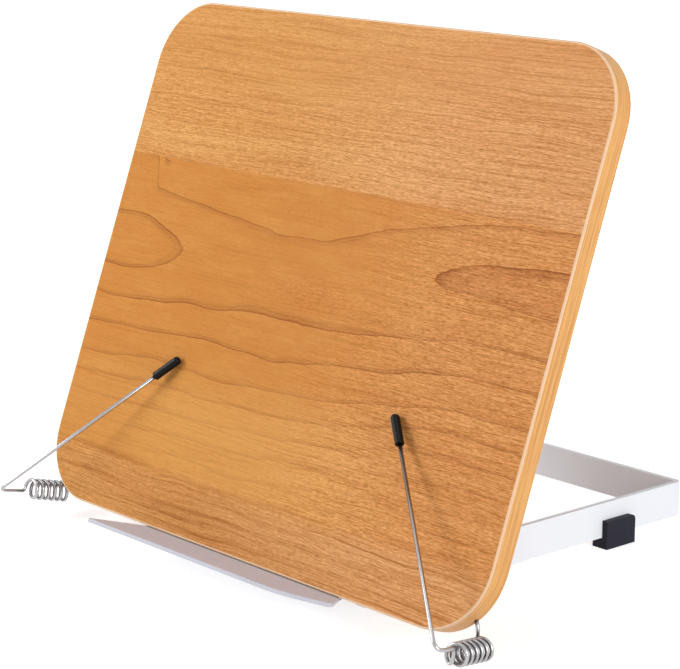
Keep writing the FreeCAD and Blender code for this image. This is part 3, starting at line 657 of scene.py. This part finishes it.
def bentBetween(start, heading, end, leaving, steps=14):
    # smooth bend that leaves start along heading and reaches end along leaving
    pull = (end - start).length * holder["bendPull"]
    points = []
    for k in range(1, steps):
        s = k / steps
        points.append(start * (2 * s ** 3 - 3 * s ** 2 + 1) + heading * pull * (s ** 3 - 2 * s ** 2 + s)
                      + end * (3 * s ** 2 - 2 * s ** 3) + leaving * pull * (s ** 3 - s ** 2))
    return points


def cornerBend(before, corner, after, radius, steps=10):
    # round bend in place of the corner, with its first and last point
    incoming = (corner - before).normalized()
    outgoing = (after - corner).normalized()
    setBack = radius * math.tan(incoming.angle(outgoing) / 2)
    start = corner - incoming * setBack
    end = corner + outgoing * setBack
    points = [start]
    for k in range(1, steps):
        s = k / steps
        points.append(start * (1 - s) ** 2 + corner * 2 * s * (1 - s) + end * s ** 2)
    return points + [end]


def holderRoute(name):
    # the wire's centre line: its leg and rear half coil, then its front half coil and arm
    side = holder[name]
    cornerAngle = math.radians(holder["legAngle"])
    splay = math.radians(holder["legSplay"])
    mouth = Vector((board["width"] / 2 - holder["corner"] * (1 - math.sin(cornerAngle)),
                    holder["corner"] * (1 - math.cos(cornerAngle)), -holder["legBack"]))
    legHeading = Vector((math.sin(splay), -math.cos(splay), 0))
    rear = Vector((holder["coilX"], holder["coilUp"], -side["coilBack"]))
    axis = Vector((math.tan(math.radians(side["out"])), -math.tan(math.radians(side["droop"])), 1))
    axis.normalize()
    coilUp = (Vector((0, 1, 0)) - axis * axis.y).normalized()
    coilAside = coilUp.cross(axis)
    way = side["winding"]
    turns = holder["wholeTurns"] + way * (side["endAngle"] - side["startAngle"]) / 360
    first = math.radians(side["startAngle"])
    climb = holder["coilLength"] / turns / (2 * math.pi)
    radius = holder["coilRadius"]

    def coilPoint(travelled):
        angle = first + way * travelled
        ringPlace = coilAside * math.cos(angle) + coilUp * math.sin(angle)
        return rear + axis * climb * travelled + ringPlace * radius

    def coilHeading(travelled):
        angle = first + way * travelled
        turning = coilUp * math.cos(angle) - coilAside * math.sin(angle)
        return (axis * climb + turning * radius * way).normalized()

    whole = turns * 2 * math.pi
    count = round(turns * holder["pointsPerTurn"])
    coil = [coilPoint(whole * k / count) for k in range(count + 1)]
    legEnd = mouth + legHeading * holder["legOut"]
    leg = [mouth - legHeading * holder["legInside"], mouth, legEnd]
    leg += bentBetween(legEnd, legHeading, coil[0], coilHeading(0))

    runStart = rear + axis * (holder["coilLength"] + side["runCurl"])
    runStart += coilUp * side["runRise"] + coilAside * side["runAside"]
    corner = Vector((side["runX"], side["runUp"], holder["runFront"]))
    tip = Vector((side["tipX"], side["tipUp"], holder["tipOut"]))
    runHeading = (corner - runStart).normalized()
    armHeading = (tip - corner).normalized()
    arm = bentBetween(coil[-1], coilHeading(whole), runStart, runHeading)
    arm += [runStart] + cornerBend(runStart, corner, tip, holder["armBend"])
    arm += [tip - armHeading * holder["capOverWire"]]
    half = count // 2
    seam = coil[half]
    routes = (leg + coil[:half + 1], coil[half:] + arm)

    # a span for each half, slanted so that
    # the whole leg lies before the first span and the whole arm beyond the second
    legWay = Vector((0, -holder["legSlant"], 1)).normalized()
    armWay = Vector((0, holder["armSlant"], 1)).normalized()
    front = rear + axis * holder["coilLength"]
    spans = ((seam - legWay * (seam - rear).dot(legWay), seam),
             (seam, seam + armWay * (front - seam).dot(armWay)))

    def placed(runs):
        return [[tuple(toFrame(point, side["mirror"])) for point in run] for run in runs]

    return placed(routes), placed(spans)


def tubeMesh(name, points, radius, sides, material):
    # round tube along the points, its section carried on without twist
    points = [Vector(p) for p in points]
    headings = []
    for k in range(len(points)):
        headings.append((points[min(k + 1, len(points) - 1)] - points[max(k - 1, 0)]).normalized())
    aside = headings[0].orthogonal().normalized()
    verts, faces = [], []
    for k, (centre, heading) in enumerate(zip(points, headings)):
        if k:
            aside = headings[k - 1].rotation_difference(heading) @ aside
        aside = (aside - heading * aside.dot(heading)).normalized()
        other = heading.cross(aside)
        for j in range(sides):
            turn = 2 * math.pi * j / sides
            verts.append(centre + (aside * math.cos(turn) + other * math.sin(turn)) * radius)
    last = (len(points) - 1) * sides
    for start in range(0, last, sides):
        for j in range(sides):
            a, b = start + j, start + (j + 1) % sides
            faces.append((a, b, b + sides, a + sides))
    faces.append(tuple(reversed(range(sides))))
    faces.append(tuple(range(last, last + sides)))
    mesh = bpy.data.meshes.new(name)
    mesh.from_pydata([tuple(v) for v in verts], [], faces)
    mesh.validate()
    for face in mesh.polygons:
        face.use_smooth = len(face.vertices) == 4
    mesh.materials.append(material)
    piece = bpy.data.objects.new(name, mesh)
    bpy.context.scene.collection.objects.link(piece)
    return piece


for name in ("right", "left"):
    (rearRoute, frontRoute), (rearSpan, frontSpan) = holderRoute(name)
    radius = holder["wire"] / 2 * mm
    legPiece = tubeMesh(f"holderLeg_{name}", rearRoute, radius, holder["sides"], wireSteel)
    armPiece = tubeMesh(f"holderArm_{name}", frontRoute, radius, holder["sides"], wireSteel)
    for piece, bodies, span, nodes in (
        (legPiece, ("board", f"coil_{name}"), rearSpan, (f"holder_leg_{name}", f"holder_coil_{name}")),
        (armPiece, (f"coil_{name}", f"arm_{name}"), frontSpan, (f"holder_arm_{name}",)),
    ):
        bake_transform(piece)
        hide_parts(*nodes)
print("page holders wound")


# Floor and light: a pale floor, soft light from the front left and from the right.
studio = {
    "floor": (0.90, 0.90, 0.90),
    "floorPatch": (0.92, 0.92, 0.92),
    "patchSpots": (0.01, 0.01, 0.01),
    "floorRoughness": 0.9,
    "floorSize": 12.0,
    "nearGlow": 0.60,         # how much whiter the camera sees the floor, near and far
    "farGlow": 1.0,
    "glowSpan": (350.0, 1300.0),
    "world": 0.33,
    "aim": (0.0, -0.02, 0.12),
    "lamps": {                # place, power and width of each soft lamp
        "keyLamp": ((-1.05, -1.45, 0.85), 14.6, 0.9),
        "glintLamp": ((-1.33, -0.97, 1.10), 4.5, 0.7),
        "fillLamp": ((1.95, -0.15, 0.50), 23.6, 1.2),
        "topLamp": ((0.05, -0.08, 1.75), 2.6, 0.9),
    },
}


def seenDirectly(finish):
    # 1 where the camera, a reflection or a see-through piece shows this surface
    camera, mirrored, through = [finish.node("ShaderNodeLightPath", {}, {}, ray) for ray in (
        "Is Camera Ray", "Is Glossy Ray", "Is Transmission Ray")]
    return camera.atLeast(mirrored).atLeast(through)


def floorFinish():
    finish = newFinish("paleFloor", studio["floor"], studio["floorRoughness"])
    place = finish.place()
    patch = finish.noise(place, studio["patchSpots"]) / 2
    finish.set("Base Color", finish.mix(patch, studio["floor"], studio["floorPatch"]))
    far = finish.vectorMaths("LENGTH", {0: place}, "Value").step(*studio["glowSpan"])
    glow = (studio["nearGlow"] + far * (studio["farGlow"] - studio["nearGlow"])) * seenDirectly(finish)
    finish.set("Emission Color", finish.node("ShaderNodeCombineColor", {}, {0: glow, 1: glow, 2: glow}))
    finish.set("Emission Strength", 1.0)
    return finish.block


bpy.ops.mesh.primitive_plane_add(size=studio["floorSize"], location=(0, 0, 0))
floor = bpy.context.object
floor.name = "studioFloor"
floor.data.materials.append(floorFinish())

sky = Finish(bpy.data.worlds.new("studioWorld"), "Background")
bpy.context.scene.world = sky.block
sky.set("Color", (1.0, 1.0, 1.0))
sky.set("Strength", studio["world"] + seenDirectly(sky) * (1.0 - studio["world"]))


def softLamp(name, place, power, across):
    lamp = bpy.data.lights.new(name, "AREA")
    lamp.energy = power
    lamp.shape = "DISK"
    lamp.size = across
    lampObject = bpy.data.objects.new(name, lamp)
    bpy.context.scene.collection.objects.link(lampObject)
    lampObject.location = place
    towards = Vector(studio["aim"]) - Vector(place)
    lampObject.rotation_euler = towards.to_track_quat("-Z", "Y").to_euler()


for name, (place, power, across) in studio["lamps"].items():
    softLamp(name, place, power, across)

view = {
    "place": (0.8922, -0.8288, 0.39424),
    "turn": 48.583,       # degrees round the vertical, from looking to the back
    "down": 12.916,       # degrees below the horizon
    "lens": 126.25,
    "sensor": 36.0,
}
camera = bpy.data.cameras.new("photoCamera")
camera.lens = view["lens"]
camera.sensor_width = view["sensor"]
camera.sensor_fit = "HORIZONTAL"
cameraObject = bpy.data.objects.new("photoCamera", camera)
bpy.context.scene.collection.objects.link(cameraObject)
cameraObject.location = view["place"]
cameraObject.rotation_euler = (math.radians(90 - view["down"]), 0, math.radians(view["turn"]))
bpy.context.scene.camera = cameraObject
bpy.context.scene.view_settings.view_transform = "Standard"
print("studio lit")
